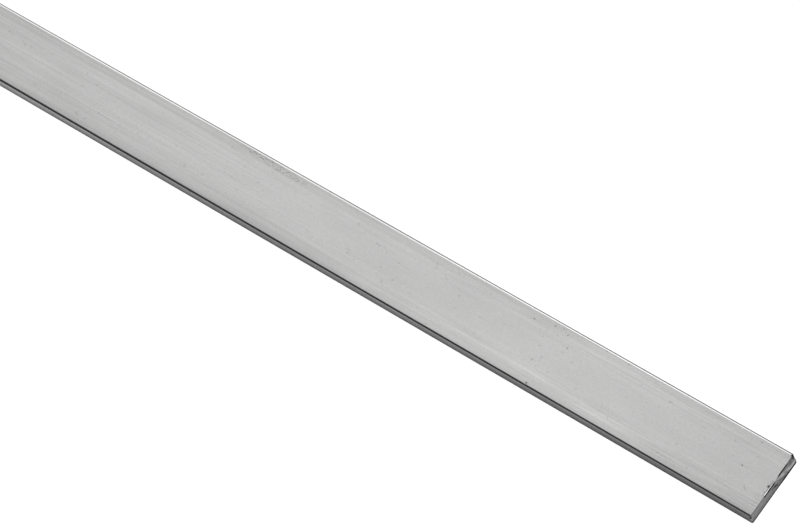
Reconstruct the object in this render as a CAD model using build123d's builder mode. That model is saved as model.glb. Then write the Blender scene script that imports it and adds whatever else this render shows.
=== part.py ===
from build123d import *
import os
from math import atan2, cos, sin

# Aluminium flat bar, one piece of mill-finish stock lying on its wide underside.
# X runs along the bar, Y across its width and Z up from the underside. The origin is
# under the middle of the bar. The sheared end is at +X and the plain sawn end at -X.
# All sizes are millimetres.

# the section, the same all along the bar
bar_length = 1000.0
bar_width = 25.0
bar_thickness = 6.0
arris_radius = 1.15

# the tear at the far side (+Y) of the sheared end: a facet set back above a bowed ledge
tear_reach = 9.3            # along the top edge, from the far side to where the tear starts
tear_foot_height = 1.2      # from the underside to the ledge's foot at the far side
tear_sag = 1.5              # how far the ledge bows below a straight line
facet_depth_top = 0.15      # how far the facet lies behind the end face at the top edge
facet_depth_foot = 0.45     # and at the height of the ledge's foot
ledge_slope = 52.0          # degrees that the ledge leans out from the facet

# the bevels down the two upright corners of the sheared end; the far one leans
near_bevel_along = 0.15
near_bevel_across = 0.5
far_bevel_along_foot = 0.3  # at the underside
far_bevel_along_head = 0.8  # at the top
far_bevel_across = 0.5      # at the top

# the lower edge of the sheared end, which the blade rolled over
rollover_depth = 0.1
rollover_height = 0.4

# the thin lip of metal drawn up along the middle of the sheared end's top edge
lip_start = 5.2             # towards the near side from the middle of the width
lip_finish = 1.9            # towards the far side from the middle of the width
lip_width = 0.27
lip_height = 0.16
lip_crest_setback = 0.17
lip_end_share = 0.15        # of its full width and height, left at each of its ends

# how far a cutting shape runs past the faces that it cuts
overrun = 1.0

sheared_end = bar_length / 2
far_side = bar_width / 2
section_radius = min(arris_radius, 0.45 * bar_thickness, 0.45 * bar_width)


def section():
    """The flat section with its four rounded arrises, at the sawn end."""
    with BuildSketch(Plane.YZ.offset(-bar_length / 2)) as outline:
        with Locations((0, bar_thickness / 2)):
            RectangleRounded(bar_width, bar_thickness, section_radius)
    return outline.sketch


def tear_outline():
    """The area above the ledge, on a facet that leans in as it goes down."""
    facet_rise = bar_thickness - tear_foot_height
    facet_lean = atan2(facet_depth_foot - facet_depth_top, facet_rise)
    facet = Plane(
        origin=(sheared_end - facet_depth_top, 0, bar_thickness),
        x_dir=(0, 1, 0),
        z_dir=(cos(facet_lean), 0, -sin(facet_lean)),
    )
    tear_start = Vector(far_side - tear_reach, 0)
    tear_foot = Vector(far_side, -facet_rise)
    along_chord = (tear_foot - tear_start).normalized()
    below_chord = Vector(along_chord.Y, -along_chord.X)
    start = tear_start - along_chord * overrun
    finish = tear_foot + along_chord * overrun
    middle = (start + finish) * 0.5 + below_chord * tear_sag
    beyond_side = finish.X + overrun
    above_top = start.Y + overrun
    with BuildSketch(facet) as outline:
        with BuildLine():
            ThreePointArc(start, middle, finish)
            Polyline(
                finish,
                (beyond_side, finish.Y),
                (beyond_side, above_top),
                (start.X, above_top),
                start,
            )
        make_face()
    return outline.sketch


def bevel_plane(side, along_foot, along_head, across):
    """The plane of a corner bevel, facing out of the bar; side is -1 near, +1 far."""
    lean = across * (along_head - along_foot) / bar_thickness
    return Plane(
        origin=(sheared_end - along_foot, side * far_side, 0),
        z_dir=(across, side * along_head, lean),
    )


def rolled_edge_plane():
    """The plane across the lower edge, facing down and out of the bar."""
    return Plane(
        origin=(sheared_end, 0, rollover_height),
        z_dir=(rollover_height, 0, -rollover_depth),
    )


def lip_profile(across, share):
    """The lip's triangle at one place across the bar, at a share of its full size."""
    edge = Plane(
        origin=(sheared_end, across, bar_thickness),
        x_dir=(-1, 0, 0),
        z_dir=(0, 1, 0),
    )
    with BuildSketch(edge) as outline:
        with BuildLine():
            Polyline(
                (0, 0),
                (lip_crest_setback * share, lip_height * share),
                (lip_width * share, 0),
                close=True,
            )
        make_face()
    return outline.sketch


with BuildPart() as lip:
    loft(
        [
            lip_profile(-lip_start, lip_end_share),
            lip_profile((lip_finish - lip_start) / 2, 1),
            lip_profile(lip_finish, lip_end_share),
        ],
        ruled=True,
    )

with BuildPart() as flat_bar:
    extrude(section(), amount=bar_length)
    extrude(
        tear_outline(),
        amount=facet_depth_foot + overrun,
        taper=-ledge_slope,
        mode=Mode.SUBTRACT,
    )
    near_bevel = bevel_plane(-1, near_bevel_along, near_bevel_along, near_bevel_across)
    far_bevel = bevel_plane(1, far_bevel_along_foot, far_bevel_along_head, far_bevel_across)
    for cut in (near_bevel, far_bevel, rolled_edge_plane()):
        split(bisect_by=cut, keep=Keep.BOTTOM)
    add(lip.part)

flat_bar.part.label = "flat_bar"
os.makedirs("parts", exist_ok=True)
export_step(flat_bar.part, "parts/flat_bar.step")

print(f"flat_bar: {len(flat_bar.solids())} solid, {flat_bar.part.volume / 1000:.1f} cm3")
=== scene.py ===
# %% [markdown]
# # A length of mill-finish aluminium flat bar
# The part is one piece of drawn flat bar, lying on its wide side. One end was cut in a
# shear, which leaves a half smooth, half torn face, and the other end was sawn.
# The measured solid comes first, because every later step takes its sizes from it. Its corners are kept here.

# %% Load the measured solid
from math import cos, pi, radians, sin

import bpy
import numpy as np
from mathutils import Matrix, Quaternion, Vector


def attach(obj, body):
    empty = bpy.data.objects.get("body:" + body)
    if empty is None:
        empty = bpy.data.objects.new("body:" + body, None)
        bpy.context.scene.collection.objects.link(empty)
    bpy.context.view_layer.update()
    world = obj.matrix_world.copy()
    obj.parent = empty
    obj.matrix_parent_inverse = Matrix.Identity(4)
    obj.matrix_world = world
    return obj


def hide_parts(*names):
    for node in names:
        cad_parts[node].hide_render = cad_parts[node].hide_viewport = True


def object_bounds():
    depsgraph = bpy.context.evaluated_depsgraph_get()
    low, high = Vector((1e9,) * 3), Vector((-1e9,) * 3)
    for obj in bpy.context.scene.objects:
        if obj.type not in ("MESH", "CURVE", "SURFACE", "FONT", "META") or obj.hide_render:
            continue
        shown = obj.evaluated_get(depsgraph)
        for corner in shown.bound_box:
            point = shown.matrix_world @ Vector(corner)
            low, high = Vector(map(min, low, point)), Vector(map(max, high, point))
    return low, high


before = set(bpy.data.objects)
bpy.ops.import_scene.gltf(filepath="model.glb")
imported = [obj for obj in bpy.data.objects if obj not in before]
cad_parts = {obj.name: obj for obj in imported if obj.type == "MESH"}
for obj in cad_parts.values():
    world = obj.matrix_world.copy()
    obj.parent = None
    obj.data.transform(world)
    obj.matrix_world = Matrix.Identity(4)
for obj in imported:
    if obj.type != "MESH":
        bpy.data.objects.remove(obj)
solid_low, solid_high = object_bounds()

MM = 0.001  # one millimetre in Blender's metres
print("solid from", [round(c / MM, 2) for c in solid_low], "to", [round(c / MM, 2) for c in solid_high])

# %% [markdown]
# ## The camera
# Product pictures of long stock are taken from above, with the bar running away from one
# end. A long lens keeps its two edges almost parallel. The camera could be placed by its
# coordinates, but a point to aim at, a distance and three angles say more: each of them
# can be changed by itself, and the bar's end stays where it is in the picture.

# %% Stand the camera over the sheared end
aim = Vector((0.34857, 0.00291, 0.006))  # on the upper face, 151 mm in from the sheared end
distance = 1.27497
heading = radians(151.201)    # which way it looks, round Z from +X
look_down = radians(59.387)
roll = radians(-27.610)       # the bar crosses the picture corner to corner
lens = 174.41


def direction_of(around, up):
    """The unit vector that points round Z from +X by one angle and above the floor by another."""
    return Vector((cos(around) * cos(up), sin(around) * cos(up), sin(up)))


def stand_camera():
    """Adds the camera: level and aimed first, then rolled about its own line of sight."""
    sight = direction_of(heading, -look_down)
    camera = bpy.data.objects.new("studio_camera", bpy.data.cameras.new("studio_camera"))
    camera.data.lens = lens
    camera.data.clip_start, camera.data.clip_end = 0.05, 100
    camera.location = aim - sight * distance
    turn = sight.to_track_quat("-Z", "Y") @ Quaternion((0, 0, 1), roll)
    camera.rotation_euler = turn.to_euler()
    bpy.context.scene.collection.objects.link(camera)
    bpy.context.scene.camera = camera
    return camera


print("camera at", [round(c, 4) for c in stand_camera().location])

# %% [markdown]
# ## The section
# A drawn bar has the same section all along: two wide flats, two narrow ones and four
# rounded arrises. It could be a cube with a Bevel modifier, but the cut ends need their
# edges to land on the same points as the long faces, so that they close without a seam.
# So the section is a function here: for each place across the width it says how far the
# bar reaches up and down. A grid across it then serves the long faces and both ends.

# %% Lines across the section, in millimetres
half_length = solid_high.x / MM
half_width = solid_high.y / MM
thickness = 6.0
arris = 1.15
flat_half = half_width - arris
middle = thickness / 2

flat_steps, arris_steps, rise_steps = 130, 10, 66


def lines_across():
    """y of the grid lines: even steps over the flat, and even angles round each arris."""
    flat = np.linspace(-flat_half, flat_half, flat_steps + 1)
    angle = np.linspace(0, pi / 2, arris_steps + 1)[1:]
    corner = flat_half + arris * np.sin(angle)
    return np.concatenate([-corner[::-1], flat, corner])


def half_height(y):
    """Half the section's height at y: the flat's, less what the arris circle has fallen by there."""
    past = np.clip(np.abs(y) - flat_half, 0, arris)
    return middle - arris + np.sqrt(arris ** 2 - past ** 2)


across = lines_across()
rise = np.linspace(-1, 1, rise_steps + 1)
grid_y = np.repeat(across[:, None], len(rise), axis=1)
grid_z = middle + half_height(grid_y) * rise[None, :]
print("section grid", grid_y.shape, "height", grid_z.max() - grid_z.min())

# %% [markdown]
# ## Soft steps and bells
# Worn metal has no hard-edged features. Three small shapes make all of its relief: a soft
# step, a bell, and a bell drawn out along a line. They work on whole arrays at once, which
# is quicker than a loop over points and reads like the formula itself.

# %% Shapes for the relief


def step(value, low, high):
    """0 up to low, 1 from high on, and between them the cubic 3t² - 2t³."""
    t = np.clip((value - low) / (high - low), 0, 1)
    return t * t * (3 - 2 * t)


def bell(value, centre, reach):
    """exp(-d²), where d is the distance from the centre in reaches."""
    return np.exp(-((value - centre) / reach) ** 2)


def stroke(y, z, start, finish, reach):
    """A bell across the line from start to finish, which also fades at both of its ends."""
    (y0, z0), (y1, z1) = start, finish
    length = np.hypot(y1 - y0, z1 - z0)
    share = np.clip(((y - y0) * (y1 - y0) + (z - z0) * (z1 - z0)) / length ** 2, 0, 1)
    away = np.hypot(y - y0 - share * (y1 - y0), z - z0 - share * (z1 - z0))
    return bell(away, 0, reach) * (0.35 + 0.65 * np.sin(pi * share))


print("a bell falls to", round(float(bell(1.0, 0.0, 1.0)), 2), "one reach from its middle")

# %% [markdown]
# ## The sheared end
# A shear blade first slides down the metal and leaves a smooth land. Then the rest breaks
# away: on the far half the break set the face back above a bowed ledge, scooped it out
# under the top edge and left gashes below. A sculpted mesh could hold this, but a
# depth is enough here, because the face never folds over itself. Each feature adds
# its own depth behind the end plane, in millimetres. The tear is a little deeper here than
# in the measured solid, which keeps only its plain facet and ledge.

# %% Depth of the sheared end
facet_depth_top, facet_depth_foot = 0.27, 0.70
near_bevel_along, near_bevel_across = 0.15, 0.5
far_bevel_foot, far_bevel_head, far_bevel_across = 0.3, 0.8, 0.5
rollover_depth, rollover_height = 0.1, 0.4
nick_depth = 0.25
ledge_rise = 1.15

gashes = [  # start and finish as (y, z), then the reach and the depth
    ((10.2, 3.7), (7.6, 4.6), 0.30, 0.06),
    ((2.4, 3.4), (6.6, 1.0), 0.45, 0.08),
    ((0.3, 4.0), (2.8, 1.5), 0.50, 0.12),
    ((-1.2, 4.3), (1.2, 2.4), 0.36, 0.09),
]


def ledge_foot(y):
    """z of the ledge's lower border: level at the far side, then rising as a square to the near side."""
    return 0.9 + 0.058 * np.clip(10.6 - y, 0, None) ** 2


def ledge_head(y):
    """z of the ledge's upper border, which keeps its distance from the lower one."""
    return ledge_foot(y) + ledge_rise


def tear_depth(y, z):
    """The facet's depth, brought in by the bowed ledge below it and from the middle of the width."""
    facet = facet_depth_foot + (facet_depth_top - facet_depth_foot) * step(z, 2.5, thickness)
    shallow_side = 1 - 0.6 * step(y, 6.5, 10.0) * step(-z, -5.6, -3.6)
    up_the_ledge = np.clip((z - ledge_foot(y)) / (ledge_head(y) - ledge_foot(y)), 0, 1)
    return facet * shallow_side * up_the_ledge ** 2 * step(y, 1.8, 4.2)


def scoop_depth(y, z):
    """The hollow under the top edge of the tear, which ends before the middle, and one under the lip."""
    tear = 0.7 * bell(y, 5.2, 2.1) * step(y, 3.1, 5.5) * bell(z, 5.1, 0.72)
    lip = 0.26 * step(y, -5.0, -3.8) * step(-y, -1.6, -0.6) * bell(z, 5.4, 0.55)
    return tear * step(thickness - z, 0.02, 0.3) + lip * step(thickness - z, 0.0, 0.12)


def corner_nick(y, z):
    """A small bell-shaped dent in the near upright corner."""
    return bell(y, -12.2, 0.35) * bell(z, 4.4, 0.55)


def edge_depth(y, z):
    """The two upright corner bevels, the rolled-over lower edge and the nick in the near corner."""
    near = near_bevel_along * np.clip((-y - half_width) / near_bevel_across + 1, 0, 1)
    far_along = far_bevel_foot + (far_bevel_head - far_bevel_foot) * step(z, 0.3, 2.6)
    far = far_along * np.clip((y - half_width) / far_bevel_across + 1, 0, 1)
    height = z - (middle - half_height(y))
    roll_over = rollover_depth * np.clip(1 - height / rollover_height, 0, 1) ** 2 * step(-y, -6.0, -1.0)
    return np.maximum(np.maximum(near, far), roll_over) + nick_depth * corner_nick(y, z)


def gash_marks(y, z):
    """How deep each gash is at a point, added up."""
    return sum(deep * stroke(y, z, start, finish, reach) for start, finish, reach, deep in gashes)


def end_depth(y, z):
    """All the depths of the sheared end together."""
    torn = tear_depth(y, z) + scoop_depth(y, z) + gash_marks(y, z)
    return np.maximum(torn, edge_depth(y, z))


print("sheared end is up to", round(float(end_depth(grid_y, grid_z).max()), 2), "mm deep")

# %% [markdown]
# ## Marks on the upper face
# Handling leaves small pits, two short scratches across the bar and a lip of metal that
# the blade drew up at the end. They are real dents, so they belong in the mesh. Each is a
# bell pressed into the face. The grid gets extra lines where a mark lies, because
# a fine grid everywhere would cost millions of faces for a few specks.

# %% Pits and scratches, in millimetres
marks = [  # from the sheared end, across, half its size along and across, depth
    (99.8, 8.6, 0.32, 0.26, 0.07),
    (92.2, 10.0, 0.16, 0.45, 0.05),
    (89.0, 10.4, 0.22, 0.22, 0.05),
    (86.7, 9.3, 0.22, 0.22, 0.05),
    (93.5, 4.9, 0.22, 0.22, 0.04),
    (92.7, 1.6, 0.24, 0.22, 0.05),
    (84.2, 5.5, 0.16, 0.50, 0.05),
    (91.9, -3.7, 0.26, 0.30, 0.05),
    (88.7, -11.3, 0.30, 0.30, 0.09),
    (72.3, 11.1, 0.30, 0.20, 0.05),
    (63.3, 10.9, 0.30, 0.22, 0.05),
    (115.8, -0.1, 0.22, 0.22, 0.045),
    (151.4, 2.1, 0.24, 0.22, 0.045),
    (162.2, 4.2, 0.24, 0.24, 0.05),
    (169.2, -3.6, 0.24, 0.24, 0.05),
    (228.7, 8.4, 0.30, 0.30, 0.04),
    (279.0, -4.8, 0.30, 0.24, 0.03),
    (328.8, 4.8, 0.40, 0.26, 0.04),
    (12.0, 0.7, 0.30, 0.28, 0.08),
    (16.3, 2.0, 0.20, 0.20, 0.03),
    (27.7, 2.3, 0.20, 0.20, 0.03),
    (37.6, -9.5, 0.24, 0.20, 0.04),
    (0.8, -1.0, 0.34, 0.48, 0.10),
]

lip_start, lip_finish = -5.2, 1.9
lip_width, lip_height, lip_crest = 0.27, 0.16, 0.17


def mark_shape(from_end, y, mark):
    """A bell in both directions, 1 at the mark's middle."""
    along, side, reach_along, reach_across, deep = mark
    return bell(from_end, along, reach_along) * bell(y, side, reach_across)


def lip_rise(from_end, y):
    """The lip's height: a slope up to its crest and a steeper one down, lower towards the near side."""
    up = np.clip(from_end / lip_crest, 0, 1)
    down = np.clip((lip_width - from_end) / (lip_width - lip_crest), 0, 1)
    span = step(y, lip_start, lip_start + 1.2) * step(-y, -lip_finish, -lip_finish + 1.2)
    thinner = 0.6 + 0.4 * step(y, lip_start, lip_start + 3.5)
    return lip_height * np.minimum(up, down) * span * thinner


def stations():
    """Distances from the sheared end at which the section is repeated: close at the end and at marks."""
    close = 3.0 * np.linspace(0, 1, 15) ** 1.7
    lip = np.array([lip_crest, lip_width, lip_width + 0.1])
    shown = np.arange(3.0, 340.0, 20.0)
    beyond = np.linspace(340.0, 2 * half_length, 18)
    near_marks = [m[0] + m[2] * np.array([-1.6, -0.8, 0.0, 0.8, 1.6]) for m in marks]
    places = np.unique(np.concatenate([close, lip, shown, beyond, *near_marks]).round(2))
    places = places[(places >= 0) & (places <= 2 * half_length)]
    return places[np.concatenate([[True], np.diff(places) > 0.03])]


from_end = stations()
print(len(from_end), "stations along", round(from_end[-1], 1), "mm")

# %% [markdown]
# ## One closed skin
# The long faces are the section's outline carried along the bar. The ends are grids
# whose borders are the first and the last outline, so nothing is left open and no edge
# is doubled. Near the sheared end the outline slides along the bar by the end's own
# depth, which fades out over a few millimetres.

# %% Outline of the section
fade_length = 3.0
last_i, last_j = len(across) - 1, len(rise) - 1
ring_i = np.concatenate([
    np.arange(last_i + 1), np.full(last_j - 1, last_i),
    np.arange(last_i, -1, -1), np.zeros(last_j - 1, int)])
ring_j = np.concatenate([
    np.zeros(last_i + 1, int), np.arange(1, last_j),
    np.full(last_i + 1, last_j), np.arange(last_j - 1, 0, -1)])
ring_y, ring_z = grid_y[ring_i, ring_j], grid_z[ring_i, ring_j]
on_top = (ring_j == last_j).astype(float)
print(len(ring_y), "points round the section")

# %% Points of the long faces and of the ends
mark_shade_depth, gash_shade_depth, scoop_shade_depth = 0.10, 0.12, 0.10  # at this depth a dent or hollow gets its full painted shade


def far_tip_shade_mask(y, z):
    """1 at the tip of the far upper corner, painted dark as shade for a chip that the mesh does not have."""
    return step(y, 10.9, 11.4) * step(z, 2.8, 3.8)


def long_faces():
    """Points of the long faces, one row for each station, and their darkening: painted shade in dents, behind
    the lip and at the far tip, and the lip stain.
    """
    s, y = from_end[:, None], ring_y[None, :]
    fade = 1 - step(s, 0, fade_length)
    x = half_length - s - end_depth(ring_y, ring_z)[None, :] * fade
    pressed = sum(m[4] * mark_shape(s, y, m) for m in marks)
    z = ring_z[None, :] + on_top * (lip_rise(s, y) - pressed)
    # Painted shade on the lip's steep inner side.
    shade_behind_lip = 0.4 * bell(s, 0.5, 0.16) * step(y, lip_start, lip_start + 1.2) * step(-y, -lip_finish, -1)
    lip_top = (1 - step(s, lip_width, lip_width + 0.1)) * step(-y, -lip_finish, -1)
    lip_stain = lip_top * (0.2 * step(y, -3.2, -1.6) + 0.15 * step(y, -0.6, 0.6))
    # Painted shade in the dents, darker where they are deeper.
    mark_shade = sum(mark_shape(s, y, m) * min(1, m[4] / mark_shade_depth) for m in marks)
    # Painted shade at the far upper corner's tip.
    tip = 0.6 * far_tip_shade_mask(ring_y, ring_z)[None, :] * (1 - step(s, 0.3, 0.6))
    grime_and_painted_light = np.clip(on_top * (mark_shade + shade_behind_lip + lip_stain) + tip, 0, 1)
    return np.stack([x, np.broadcast_to(y, x.shape), z], axis=-1), grime_and_painted_light


def end_face(x, grime_and_painted_light):
    """Points and their darkening values inside an end's border, row by row across the width."""
    inside = np.s_[1:-1, 1:-1]
    points = np.stack([x[inside], grid_y[inside], grid_z[inside]], axis=-1)
    return points.reshape(-1, 3), grime_and_painted_light[inside].ravel()


sheared_x = half_length - end_depth(grid_y, grid_z)


def end_shade_and_darkening(y, z):
    """Painted shade in the hollows, on the rolled-over lower edge, just under the top edge on the near half
    and at the far tip; darker in the upper part towards both upright corners and on the far facet.
    """
    # Painted shade in the gashes, the scoops and the corner nick, darker the deeper they are.
    hollows = gash_marks(y, z) / gash_shade_depth + scoop_depth(y, z) / scoop_shade_depth + 2 * corner_nick(y, z)
    # Painted shade on the rolled-over lower edge, which faces the dark gap by the floor.
    height = z - (middle - half_height(y))
    edge_reach = 1.15 + 0.25 * step(y, 1.0, 5.0)
    lower_edge_shade = step(-height, -edge_reach, -0.6 * edge_reach) * (1 + 0.25 * step(y, 1.0, 5.0))
    upper_corners = 0.22 * step(z, 4.3, 5.3) * step(np.abs(y + 0.8), 1.8, 8.8)
    far_facet = 0.45 * step(y, 8.6, 10.0) * step(z, 1.9, 3.2)
    # Painted shade just under the top edge on the near half.
    near_rim_shade = 0.45 * step(-y, 2.5, 4.5) * step(z, 5.1, 5.7)
    edge_and_facet_darkening = lower_edge_shade + upper_corners + far_facet + near_rim_shade + 0.4 * far_tip_shade_mask(y, z)
    return np.clip(hollows + edge_and_facet_darkening, 0, 1.25)


def ledge_highlight(y, z):
    """How much painted highlight the ledge gets: bright, apart from a darker stretch half way."""
    above_foot = step(z, ledge_foot(y), ledge_foot(y) + 0.5) * step(-y, -12.3, -11.0)
    below_head = step(-z, -ledge_head(y) - 0.1, -ledge_head(y) + 0.3)
    highlight_share = 0.6 - 1.2 * bell(y, 7.0, 1.1) + 0.45 * step(y, 7.8, 9.6)
    return above_foot * below_head * step(y, 1.0, 3.5) * highlight_share


# The end's painted shade and darker places, less the painted highlight on the ledge.
sheared_shade_and_highlight = end_shade_and_darkening(grid_y, grid_z) - 0.7 * ledge_highlight(grid_y, grid_z)
sawn_x = np.full_like(grid_y, -half_length)
tube, tube_grime_and_shade = long_faces()
on_flat_top = on_top * (np.abs(ring_y) < flat_half)
tube_grime_and_shade[0] = np.maximum(tube_grime_and_shade[0], sheared_shade_and_highlight[ring_i, ring_j] * (1 - on_flat_top))
sheared, shade_and_highlight_of_sheared = end_face(sheared_x, sheared_shade_and_highlight)
sawn, grime_of_sawn = end_face(sawn_x, np.zeros_like(grid_y))
points = np.concatenate([tube.reshape(-1, 3), sheared, sawn])
grime_and_painted_light = np.concatenate([tube_grime_and_shade.ravel(), shade_and_highlight_of_sheared, grime_of_sawn])
print(len(points), "points")

# %% Faces between the points


def tube_faces(rows, columns):
    """Four corners of each face between two stations, turned to face outwards."""
    row, column = np.meshgrid(np.arange(rows - 1), np.arange(columns), indexing="ij")
    after = (column + 1) % columns
    corners = [(row, column), (row + 1, column), (row + 1, after), (row, after)]
    return np.stack([r * columns + c for r, c in corners], axis=-1).reshape(-1, 4)


def end_faces(ring_start, inner_start, outward_x):
    """Four corners of each face of an end: its border is an outline and its inside comes after."""
    index = np.empty(grid_y.shape, int)
    index[ring_i, ring_j] = ring_start + np.arange(len(ring_i))
    index[1:-1, 1:-1] = inner_start + np.arange((last_i - 1) * (last_j - 1)).reshape(last_i - 1, -1)
    corners = [index[:-1, :-1], index[1:, :-1], index[1:, 1:], index[:-1, 1:]]
    return np.stack(corners[::outward_x], axis=-1).reshape(-1, 4)


rows, columns = tube.shape[:2]
long_side = tube_faces(rows, columns)
sheared_side = end_faces(0, rows * columns, 1)
sawn_side = end_faces((rows - 1) * columns, rows * columns + len(sheared), -1)
faces = np.concatenate([long_side, sheared_side, sawn_side])
finish_of_face = np.repeat([0, 1, 2], [len(long_side), len(sheared_side), len(sawn_side)])
print(len(faces) * 2, "triangles")

# %% Put the skin into a mesh
skin = bpy.data.meshes.new("drawn_bar")
skin.from_pydata(points * MM, [], faces)
skin.polygons.foreach_set("material_index", finish_of_face.astype(np.int32))
# This attribute holds the lip stain and painted light: painted shade in dents, hollows, under the edges and
# at the far tip, and a painted highlight on the ledge as negative values.
skin.attributes.new("grime_and_painted_light", "FLOAT", "POINT").data.foreach_set("value", grime_and_painted_light.astype(np.float32))
skin.shade_smooth()
skin.set_sharp_from_angle(angle=radians(32))
skin.update()
bar = bpy.data.objects.new("drawn_bar", skin)
bpy.context.scene.collection.objects.link(bar)
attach(bar, "root")
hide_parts("flat_bar")
print("bar built:", len(skin.vertices), "points,", len(skin.polygons), "faces")

# %% [markdown]
# ## A bench for finishes
# A finish is a small sum over the surface: how light, how rough and how high it is at
# each place. Nodes wired by hand hide that sum, so this class lets it be written out:
# adding or multiplying two tones adds the Math node that does so.

# %% Tones that can be added and multiplied


class Tone:
    """A node's output. Sums with numbers and other tones become Math nodes."""

    def __init__(self, bench, socket):
        self.bench, self.socket = bench, socket

    def sum(self, operation, *terms):
        return self.bench.add("ShaderNodeMath", {"operation": operation}, dict(enumerate(terms)))

    def __add__(self, other):
        return self.sum("ADD", self, other)

    def __sub__(self, other):
        return self.sum("SUBTRACT", self, other)

    def __rsub__(self, other):
        return self.sum("SUBTRACT", other, self)

    def __mul__(self, other):
        return self.sum("MULTIPLY", self, other)

    def __pow__(self, power):
        return self.sum("POWER", self, power)

    __radd__ = __add__
    __rmul__ = __mul__

    def size(self):
        return self.sum("ABSOLUTE", self)

    def step(self, low, high):
        """0 up to low and 1 from high on, with a soft change between."""
        settings = {"interpolation_type": "SMOOTHSTEP"}
        return self.bench.add("ShaderNodeMapRange", settings, {"Value": self, 1: low, 2: high})


class Bench:
    """The nodes of one material or of the world."""

    def __init__(self, owner):
        owner.use_nodes = True
        self.tree = owner.node_tree
        self.tree.nodes.clear()

    def add(self, kind, settings, values, output=0):
        """Adds a node, sets it up, gives its sockets numbers or links, and returns one output."""
        node = self.tree.nodes.new(kind)
        for name, value in settings.items():
            setattr(node, name, value)
        for name, value in values.items():
            if isinstance(value, Tone):
                self.tree.links.new(value.socket, node.inputs[name])
            else:
                node.inputs[name].default_value = value
        return Tone(self, node.outputs[output])

    def place(self):
        """Where a point lies in the bar's own frame, as three tones in metres."""
        spot = self.add("ShaderNodeTexCoord", {}, {}, "Object")
        return [self.add("ShaderNodeSeparateXYZ", {}, {0: spot}, axis) for axis in "XYZ"]

    def vector(self, x, y, z):
        return self.add("ShaderNodeCombineXYZ", {}, {0: x, 1: y, 2: z})

    def cloud(self, spot, detail=2.0, seed=0.0):
        """Smooth noise about 0, at most about a half either way. One unit of the spot is one lump."""
        noise = self.add("ShaderNodeTexNoise", {"noise_dimensions": "4D"},
                         {"Vector": spot, "W": seed, "Scale": 1.0, "Detail": detail})
        return noise - 0.5

    def mix(self, share, first, second):
        settings = {"data_type": "RGBA"}
        values = {0: share, 6: (*first, 1.0), 7: (*second, 1.0)}
        return self.add("ShaderNodeMix", settings, values, 2)

    def bump(self, height, distance):
        return self.add("ShaderNodeBump", {}, {"Height": height, "Distance": distance})

    def metal(self, colour, stain_and_painted_shade, roughness, normal):
        """Bare metal that turns into a matt, unpolished layer where the value for stain and painted shade is
        high.
        """
        bare = self.add("ShaderNodeMath", {"operation": "SUBTRACT", "use_clamp": True}, {0: 1.0, 1: stain_and_painted_shade})
        values = {"Base Color": colour, "Metallic": bare, "Roughness": roughness, "Normal": normal}
        return self.add("ShaderNodeBsdfPrincipled", {}, values | {"Specular IOR Level": 0.0})

    def show(self, shader, kind="ShaderNodeOutputMaterial"):
        self.tree.links.new(shader.socket, self.tree.nodes.new(kind).inputs["Surface"])


def new_finish(name):
    """A material and the bench that its nodes are made on."""
    material = bpy.data.materials.new(name)
    return material, Bench(material)


dark_metal, light_metal = (0.010, 0.010, 0.011), (0.80, 0.80, 0.795)
print("tones run from", dark_metal, "to", light_metal)

# %% [markdown]
# ## The drawn finish
# The die leaves fine lines along the bar, a few of them unbroken from end to end. Rolls
# and hands leave soft patches, and the face is duller along both edges. An anisotropic
# shader could smear the light along such lines, but lines that can be seen one by one
# are better as stretched noise: long along X and short across it. Each thing that
# happened to the face is a function of its own, and the finish adds them up.

# %% Drawn faces
rub_middle = (0.2880, 0.0102)  # x and y of the rubbed place by the far edge, in metres


def drawn_lines(b, x, y, z, patches):
    """Streaks that are worn off down the middle towards the cut end, and the brushed band beside it."""
    along = x * x.size() * 45  # lines are shorter towards the cut end
    fine = b.cloud(b.vector(along, y * 1900, z * 1900), 2)
    broad = b.cloud(b.vector(along, y * 640, z * 640), 2, 4)
    worn = 1 - 0.85 * x.step(0.24, 0.34) * (1 - (y - patches * 0.006).size().step(0.003, 0.008))
    ends = 1.25 - 0.25 * x.step(0.24, 0.30) * (1 - x.step(0.40, 0.46))
    brushed = (1 - (y + 0.0078).size().step(0.0006, 0.0034)) * x.step(0.28, 0.38)
    return (fine * 0.98 + broad * 0.40) * worn * ends * (1 + 0.9 * brushed), brushed


def die_lines(x, y):
    """A light line near the middle, and a dark one by the far edge that fades out half way along."""
    light_line = 1 - (y + 0.0041).size().step(0.0001, 0.0004)
    dark_line = (1 - (y - 0.009).size().step(0.0002, 0.0009)) * (1 - x.step(0.33, 0.40))
    return light_line * 0.02 - dark_line * 0.045


def rubbed_place(b, x, y, z):
    """A slanted oval of small dull spots, where something rubbed against the bar."""
    along, side = x - rub_middle[0], y - rub_middle[1]
    rub_x, rub_y = along * 0.075, side + along * 0.033
    oval = 1 - (rub_x * rub_x + rub_y * rub_y).step(0.0000001, 0.0000024)
    return oval * (0.15 + b.cloud(b.vector(x * 900, y * 1800, z), 2, 3).step(-0.05, 0.12))


def darker_and_shaded_places(x, y, edge):
    """Darker strips by both edges, painted shade on the near left side, and darker tone towards the cut end
    and on a strip of the far arris.
    """
    left = (1 - x.step(0.30, 0.36)) * (0.45 + 0.55 * x.step(0.22, 0.28))
    # Painted shade towards the near edge on the left part of the bar.
    near_left_shade = (-1 * y).step(0.002, 0.0115) * left
    far_right = y.step(0.0111, 0.0116) * (1 - y.step(0.0119, 0.0122)) * x.step(0.37, 0.42)
    return near_left_shade * 0.09 + edge * 0.08 + x.step(0.440, 0.505) * 0.10 + far_right * 0.11


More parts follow.
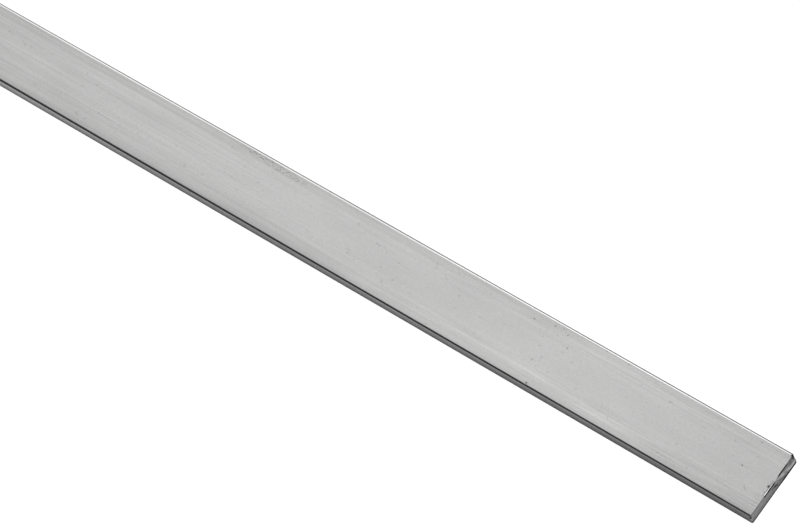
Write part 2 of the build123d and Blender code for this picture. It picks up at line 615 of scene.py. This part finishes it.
def drawn_finish():
    """Streaks, hairlines, patches, die lines, specks, darker places with some painted shade, the rub, and the
    mesh's lip stain and painted light, on plain metal.
    """
    material, b = new_finish("mill_finish")
    x, y, z = b.place()
    grime_and_painted_light = b.add("ShaderNodeAttribute", {"attribute_name": "grime_and_painted_light"}, {}, "Fac")
    patches = b.cloud(b.vector(x * 28, y * 75, z * 75), 2, 9)
    streaks, brushed = drawn_lines(b, x, y, z, patches)
    hairs = b.cloud(b.vector(x * 2400, y * 2600, z * 2600), 1, 5)
    specks = b.cloud(b.vector(x * 620, y * 620, z * 620), 0, 11).step(0.24, 0.32)
    edge = (y.size() + streaks * 0.0012).step(0.0082, 0.0118)
    arris_band = y.size().step(0.0111, 0.0116)
    tone = 0.788 + streaks * 0.21 + hairs * 0.20 + patches * 0.13 + brushed * 0.01 + die_lines(x, y)
    tone = tone - darker_and_shaded_places(x, y, edge) - specks * 0.10 - rubbed_place(b, x, y, z) * 0.25 - grime_and_painted_light * 0.70
    rough = 0.20 + streaks * 0.10 + patches * 0.06 + edge * 0.05 - arris_band * 0.12 + grime_and_painted_light * 0.3
    normal = b.bump(streaks * 0.8 + hairs * 0.2, 0.00002)
    b.show(b.metal(b.mix(tone, dark_metal, light_metal), grime_and_painted_light, rough, normal))
    return material


print("rubbed place at", rub_middle, "m")

# %% [markdown]
# ## The cut faces
# The shear drags upright scratches down the smooth land and leaves grain in the tear. A
# saw leaves straight lines across the width. Both are the same noise, stretched the other
# way, with a stronger bump than the drawn skin has.

# %% Sheared and sawn faces


def sheared_finish():
    """Upright scratches and grain, darker where the mesh paints shade, lighter on the painted ledge
    highlight, with smeared borders.
    """
    material, b = new_finish("sheared_face")
    x, y, z = b.place()
    painted_light_values = b.add("ShaderNodeAttribute", {"attribute_name": "grime_and_painted_light"}, {}, "Fac")
    scratches = b.cloud(b.vector(x * 900, y * 3600, z * 500), 2, 2)
    grain = b.cloud(b.vector(x * 2200, y * 2200, z * 2200), 3, 4)
    smears = b.cloud(b.vector(x * 900, y * 900, z * 1500), 3, 7)
    grime_and_painted_light = painted_light_values * (1.05 + smears * 1.3)
    tone = 0.652 + scratches * 0.16 + grain * 0.14 - grime_and_painted_light * 0.64
    rough = 0.34 + scratches * 0.12 + grime_and_painted_light * 0.2
    normal = b.bump(scratches * 0.6 + grain * 0.4, 0.00006)
    b.show(b.metal(b.mix(tone, dark_metal, light_metal), grime_and_painted_light, rough, normal))
    return material


def sawn_finish():
    """Straight saw lines across the width."""
    material, b = new_finish("sawn_face")
    x, y, z = b.place()
    lines = b.cloud(b.vector(x * 400, y * 120, z * 4200), 2, 6)
    tone = 0.7 + lines * 0.2
    b.show(b.metal(b.mix(tone, dark_metal, light_metal), 0.0, 0.36 + lines * 0.15, b.bump(lines, 0.00008)))
    return material


for finish in (drawn_finish(), sheared_finish(), sawn_finish()):
    skin.materials.append(finish)
print("finishes:", [m.name for m in skin.materials])

# %% [markdown]
# ## The floor
# Bright metal mirrors whatever lies round it. On a white floor its sides turn white and
# its shape is lost, so studios lay it on grey and clear the grey to white afterwards. One
# node does both at once: light that goes straight to the camera sees a pale floor, and
# light that the bar throws back sees a grey one.

# %% Lay the floor
floor_half = 24.0
grey_card = (0.95, 0.945, 0.97)


def floor_finish():
    """A pale matt sheet to look at. In the bar's reflections it is grey with painted light and shade: lighter
    towards -X and beyond the sheared end, darker on the far side and further out on the near side, with a
    painted shadow at the bar's foot.
    """
    material, b = new_finish("studio_floor")
    shaded = b.add("ShaderNodeBsdfDiffuse", {}, {"Color": (0.3, 0.3, 0.3, 1)})
    lit = b.add("ShaderNodeEmission", {}, {"Strength": 0.92})
    pale = b.add("ShaderNodeAddShader", {}, {0: shaded, 1: lit})
    x, y, z = b.place()
    # Painted light on the grey that reflections see: lighter just at the sheared end, towards -X and beyond
    # the end.
    lit_before_end = 0.12 * x.step(0.4995, 0.5005) * (1 - x.step(0.5015, 0.506))
    along = 0.55 + 0.60 * (1 - x.step(0.0, 0.5)) + lit_before_end + 1.3 * x.step(0.505, 0.525)
    # Painted shade on the far side, and further out on the near side.
    far_side_shade = 0.1 * y.step(-0.008, 0.012)
    away = 0.1 * (-1 * y).step(0.0142, 0.0160) + 0.2 * (-1 * y).step(0.02, 0.08)
    # Painted contact shadow at the bar's near foot.
    foot = y.step(-0.0139, -0.0124) * 0.6 + y.step(-0.0131, -0.0125) * 0.25
    shaded_foot = foot * (1 - y.step(0.0, 0.0125)) * (1 - x.step(0.4995, 0.5015))
    grey_with_painted_light = along * (1 - far_side_shade) * (1 - away) * (1 - shaded_foot)
    grey = b.add("ShaderNodeBsdfDiffuse", {}, {"Color": b.mix(grey_with_painted_light, (0, 0, 0), grey_card)})
    seen = b.add("ShaderNodeLightPath", {}, {}, "Is Camera Ray")
    b.show(b.add("ShaderNodeMixShader", {}, {0: seen, 1: grey, 2: pale}))
    return material


sheet = bpy.data.meshes.new("studio_floor")
corner_signs = np.array([(-1, -1, 0), (1, -1, 0), (1, 1, 0), (-1, 1, 0)])
sheet.from_pydata(corner_signs * floor_half, [], [(0, 1, 2, 3)])
sheet.materials.append(floor_finish())
floor = bpy.data.objects.new("studio_floor", sheet)
bpy.context.scene.collection.objects.link(floor)
print("floor", 2 * floor_half, "m square")

# %% [markdown]
# ## The light
# Soft light from all round shows drawn metal best, as long as it isn't even: a white card
# beyond the bar puts a white line on its far arris, and a black card nearer puts a dark
# one on its near arris. A few lamps would show as spots in the metal, so the sky itself
# carries the two cards, and two large softboxes add the direction.

# %% Sky


def studio_sky():
    """Brightness by direction: mid-light overhead, a white card beyond the bar and a black one nearer."""
    world = bpy.data.worlds.new("studio_sky")
    bpy.context.scene.world = world
    b = Bench(world)
    toward = b.add("ShaderNodeTexCoord", {}, {}, "Generated")
    x, y, z = [b.add("ShaderNodeSeparateXYZ", {}, {0: toward}, axis) for axis in "XYZ"]
    height = z.step(0.1, 0.9)
    card_width = x.step(-0.70, -0.62) * (1 - x.step(-0.24, -0.06))
    black = (x * -0.42 - y * 0.91).step(0.0, 0.29) * z.step(0.0, 0.40) * (1 - z.step(0.77, 0.90))
    white = y.step(0.28, 0.52) * z.step(0.2, 0.5) * (1.1 - 0.57 * x.step(-0.51, -0.35))
    glow = (0.20 + height * 0.64 + white * card_width) * (1 - black * card_width * 0.94)
    b.show(b.add("ShaderNodeBackground", {}, {"Color": (1, 1, 1, 1), "Strength": glow}),
           "ShaderNodeOutputWorld")
    return world


print("sky:", studio_sky().name)

# %% Softboxes


def softbox(name, around, up, away, size, power):
    """A square area light that faces the middle of the bar from the given direction."""
    lamp = bpy.data.lights.new(name, "AREA")
    lamp.size, lamp.energy = size, power
    box = bpy.data.objects.new(name, lamp)
    toward = direction_of(radians(around), radians(up))
    box.location = toward * away
    box.rotation_euler = (-toward).to_track_quat("-Z", "Y").to_euler()
    bpy.context.scene.collection.objects.link(box)


softbox("far_softbox", 95, 35, 3.0, 1.6, 10)
softbox("end_softbox", 18, 26, 3.0, 2.0, 17)
bpy.context.scene.view_settings.view_transform = "Standard"
